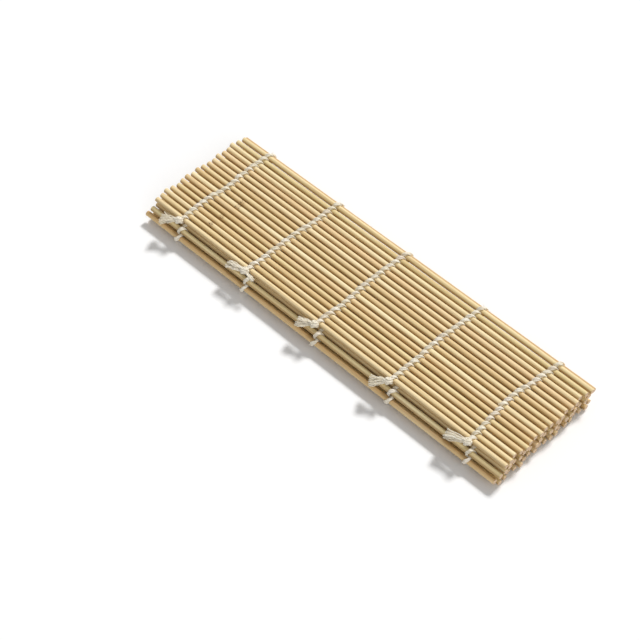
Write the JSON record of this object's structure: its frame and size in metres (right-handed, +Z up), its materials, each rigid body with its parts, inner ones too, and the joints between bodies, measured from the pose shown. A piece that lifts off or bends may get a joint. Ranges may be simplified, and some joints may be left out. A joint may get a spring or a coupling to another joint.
{
  "type": "sushi rolling mat",
  "caption": "Bamboo mat for rolling sushi: round sticks held side by side by rows of twined cotton twine tied off in frayed knots. Folded flat in layers; it unfolds and rolls.",
  "frame": {"origin": "middle of the folded mat's outline, on the surface that it lies on", "axes": "+X across the sticks, towards the fold between the middle and the top layer; +Y along the sticks, towards the end that the tassels point to; +Z up"},
  "size_m": [0.0771, 0.2418, 0.0151],
  "materials": {
    "bamboo": "sanded, bare",
    "twine": "twisted, undyed"
  },
  "bodies": {
    "bottom_layer": {"bottom_sticks": "bamboo", "bottom_twine_row_1": "twine", "bottom_twine_row_2": "twine", "bottom_twine_row_3": "twine", "bottom_twine_row_4": "twine", "bottom_twine_row_5": "twine"},
    "left_fold": {"left_fold_stick": "bamboo", "left_fold_twine": "twine"},
    "middle_layer": {"middle_sticks": "bamboo", "middle_twine_row_1": "twine", "middle_twine_row_2": "twine", "middle_twine_row_3": "twine", "middle_twine_row_4": "twine", "middle_twine_row_5": "twine"},
    "right_fold": {"right_fold_stick": "bamboo", "right_fold_twine": "twine"},
    "top_01": {"top_stick_01": "bamboo", "top_twine_01": "twine"},
    "top_02": {"top_stick_02": "bamboo", "top_twine_02": "twine"},
    "top_03": {"top_stick_03": "bamboo", "top_twine_03": "twine"},
    "top_04": {"top_stick_04": "bamboo", "top_twine_04": "twine"},
    "top_05": {"top_stick_05": "bamboo", "top_twine_05": "twine"},
    "top_06": {"top_stick_06": "bamboo", "top_twine_06": "twine"},
    "top_07": {"top_stick_07": "bamboo", "top_twine_07": "twine"},
    "top_08": {"top_stick_08": "bamboo", "top_twine_08": "twine"},
    "top_09": {"top_stick_09": "bamboo", "top_twine_09": "twine"},
    "top_10": {"top_stick_10": "bamboo", "top_twine_10": "twine"},
    "top_11": {"top_stick_11": "bamboo", "top_twine_11": "twine"},
    "top_12": {"top_stick_12": "bamboo", "top_twine_12": "twine"},
    "top_13": {"top_stick_13": "bamboo", "top_twine_13": "twine"},
    "top_14": {"top_stick_14": "bamboo", "top_twine_14": "twine"},
    "top_15": {"top_stick_15": "bamboo", "top_twine_15": "twine"},
    "top_16": {"top_stick_16": "bamboo", "top_twine_16": "twine"},
    "top_17": {"top_stick_17": "bamboo", "top_twine_17": "twine"},
    "top_18": {"top_stick_18": "bamboo", "top_twine_18": "twine", "end_knot_1": "twine", "end_knot_2": "twine", "end_knot_3": "twine", "end_knot_4": "twine", "end_knot_5": "twine"}
  },
  "joints": [
    {"name": "left_fold_lower", "type": "hinge", "parent": "bottom_layer", "child": "left_fold", "pos_m": [-0.03443, 0, 0.00309], "axis": [0, -1, 0], "range_deg": [0, 90.52]},
    {"name": "left_fold_upper", "type": "hinge", "parent": "left_fold", "child": "middle_layer", "pos_m": [-0.0344, 0, 0.00671], "axis": [0, -1, 0], "range_deg": [0, 90.52]},
    {"name": "right_fold_lower", "type": "hinge", "parent": "middle_layer", "child": "right_fold", "pos_m": [0.0344, 0, 0.00714], "axis": [0, 1, 0], "range_deg": [0, 90.55]},
    {"name": "right_fold_upper", "type": "hinge", "parent": "right_fold", "child": "top_01", "pos_m": [0.03443, 0, 0.01076], "axis": [0, 1, 0], "range_deg": [0, 90.55]},
    {"name": "top_hinge_01", "type": "hinge", "parent": "top_01", "child": "top_02", "pos_m": [0.03081, 0, 0.01172], "axis": [0, 1, 0], "range_deg": [0, 15]},
    {"name": "top_hinge_02", "type": "hinge", "parent": "top_02", "child": "top_03", "pos_m": [0.02719, 0, 0.01172], "axis": [0, 1, 0], "range_deg": [0, 15]},
    {"name": "top_hinge_03", "type": "hinge", "parent": "top_03", "child": "top_04", "pos_m": [0.02357, 0, 0.01171], "axis": [0, 1, 0], "range_deg": [0, 15]},
    {"name": "top_hinge_04", "type": "hinge", "parent": "top_04", "child": "top_05", "pos_m": [0.01995, 0, 0.01171], "axis": [0, 1, 0], "range_deg": [0, 15]},
    {"name": "top_hinge_05", "type": "hinge", "parent": "top_05", "child": "top_06", "pos_m": [0.01633, 0, 0.0117], "axis": [0, 1, 0], "range_deg": [0, 15]},
    {"name": "top_hinge_06", "type": "hinge", "parent": "top_06", "child": "top_07", "pos_m": [0.01271, 0, 0.0117], "axis": [0, 1, 0], "range_deg": [0, 15]},
    {"name": "top_hinge_07", "type": "hinge", "parent": "top_07", "child": "top_08", "pos_m": [0.00909, 0, 0.0117], "axis": [0, 1, 0], "range_deg": [0, 15]},
    {"name": "top_hinge_08", "type": "hinge", "parent": "top_08", "child": "top_09", "pos_m": [0.00547, 0, 0.01169], "axis": [0, 1, 0], "range_deg": [0, 15]},
    {"name": "top_hinge_09", "type": "hinge", "parent": "top_09", "child": "top_10", "pos_m": [0.00185, 0, 0.01169], "axis": [0, 1, 0], "range_deg": [0, 15]},
    {"name": "top_hinge_10", "type": "hinge", "parent": "top_10", "child": "top_11", "pos_m": [-0.00177, 0, 0.01169], "axis": [0, 1, 0], "range_deg": [0, 15]},
    {"name": "top_hinge_11", "type": "hinge", "parent": "top_11", "child": "top_12", "pos_m": [-0.00539, 0, 0.01168], "axis": [0, 1, 0], "range_deg": [0, 15]},
    {"name": "top_hinge_12", "type": "hinge", "parent": "top_12", "child": "top_13", "pos_m": [-0.00901, 0, 0.01168], "axis": [0, 1, 0], "range_deg": [0, 15]},
    {"name": "top_hinge_13", "type": "hinge", "parent": "top_13", "child": "top_14", "pos_m": [-0.01263, 0, 0.01167], "axis": [0, 1, 0], "range_deg": [0, 15]},
    {"name": "top_hinge_14", "type": "hinge", "parent": "top_14", "child": "top_15", "pos_m": [-0.01625, 0, 0.01167], "axis": [0, 1, 0], "range_deg": [0, 15]},
    {"name": "top_hinge_15", "type": "hinge", "parent": "top_15", "child": "top_16", "pos_m": [-0.01987, 0, 0.01167], "axis": [0, 1, 0], "range_deg": [0, 15]},
    {"name": "top_hinge_16", "type": "hinge", "parent": "top_16", "child": "top_17", "pos_m": [-0.02349, 0, 0.01166], "axis": [0, 1, 0], "range_deg": [0, 15]},
    {"name": "top_hinge_17", "type": "hinge", "parent": "top_17", "child": "top_18", "pos_m": [-0.02711, 0, 0.01166], "axis": [0, 1, 0], "range_deg": [0, 15]}
  ]
}
